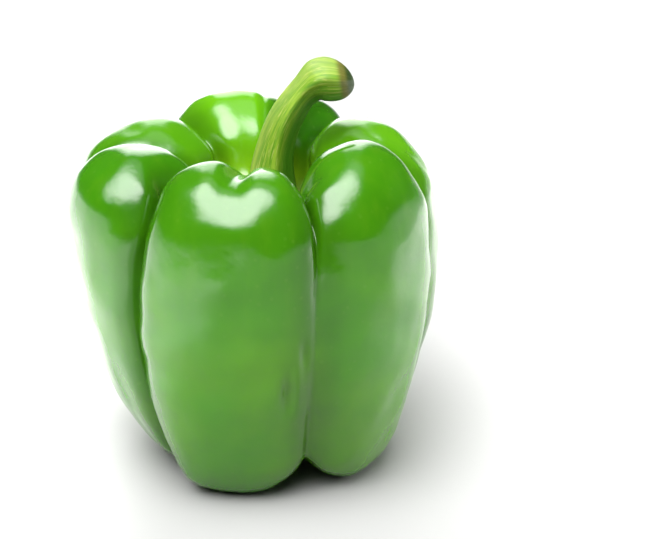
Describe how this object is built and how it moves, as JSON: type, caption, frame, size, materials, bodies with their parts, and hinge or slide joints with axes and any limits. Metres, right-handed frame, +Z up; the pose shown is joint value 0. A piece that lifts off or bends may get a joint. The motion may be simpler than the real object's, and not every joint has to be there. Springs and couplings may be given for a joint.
{
  "type": "bell pepper",
  "caption": "Blocky green bell pepper with rounded lobes, a deep stem well and a bent stem with a flared cut end, standing on the flattened tips of its feet.",
  "frame": {"origin": "middle of the bounding box, on the surface that the feet rest on", "axes": "+Z up, from the feet to the stem; -Y towards the front lobe; the stem leans to +X"},
  "size_m": [0.0922, 0.0964, 0.1047],
  "materials": {
    "fruit_skin": "waxy glossy green skin",
    "calyx_skin": "matte yellow-green leafy tissue",
    "stem_skin": "ribbed yellow-green stem, brown where it was cut"
  },
  "bodies": {
    "root": {"fruit": "fruit_skin", "calyx": "calyx_skin", "stem": "stem_skin"}
  },
  "joints": []
}
